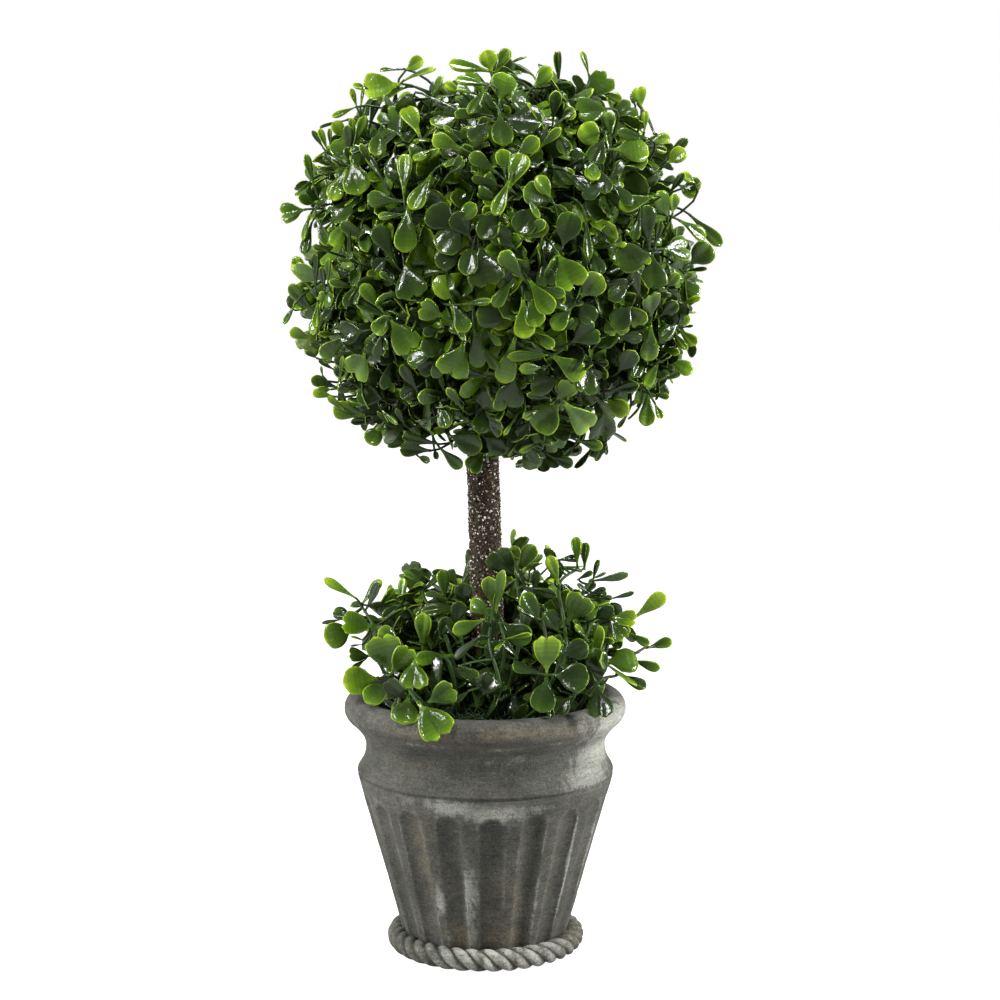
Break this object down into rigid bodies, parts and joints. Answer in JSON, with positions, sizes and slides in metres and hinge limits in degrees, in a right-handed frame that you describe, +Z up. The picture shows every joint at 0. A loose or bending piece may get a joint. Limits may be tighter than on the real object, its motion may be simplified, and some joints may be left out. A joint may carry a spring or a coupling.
{
  "type": "artificial ball topiary in a fluted pot",
  "caption": "Artificial ball topiary: a clipped ball of moulded leaf sprigs on a grit-coated stem, with sprigs round its foot, in a fluted cement pot with a rope band.",
  "frame": {"origin": "centre of the pot's flat underside", "axes": "+Z up the pot's axis, towards the crown; -Y is the front of the pot, and the trunk leans a little towards -X"},
  "size_m": [0.1783, 0.1767, 0.3795],
  "materials": {
    "cement": "weathered grey-brown cement, matt, dry-brushed lighter on the raised edges",
    "plug_moss": "foam plug under dark green plastic moss",
    "grit_stem": "dark brown grains glued all over the stem, with glittering facets",
    "sprig_stem": "moulded green plastic, satin",
    "foliage": "moulded plastic leaves, glossy, dark green with yellow-green tips and edges"
  },
  "bodies": {
    "root": {"pot": "cement", "plug": "plug_moss", "trunk": "grit_stem", "crown": "foliage", "stem_right": "sprig_stem", "tuft_right": "foliage", "stem_back_right": "sprig_stem", "tuft_back_right": "foliage", "stem_back_left": "sprig_stem", "tuft_back_left": "foliage", "stem_left_back": "sprig_stem", "tuft_left_back": "foliage", "stem_left_front": "sprig_stem", "tuft_left_front": "foliage", "stem_front": "sprig_stem", "tuft_front": "foliage", "stem_right_front": "sprig_stem", "tuft_right_front": "foliage"}
  },
  "joints": []
}
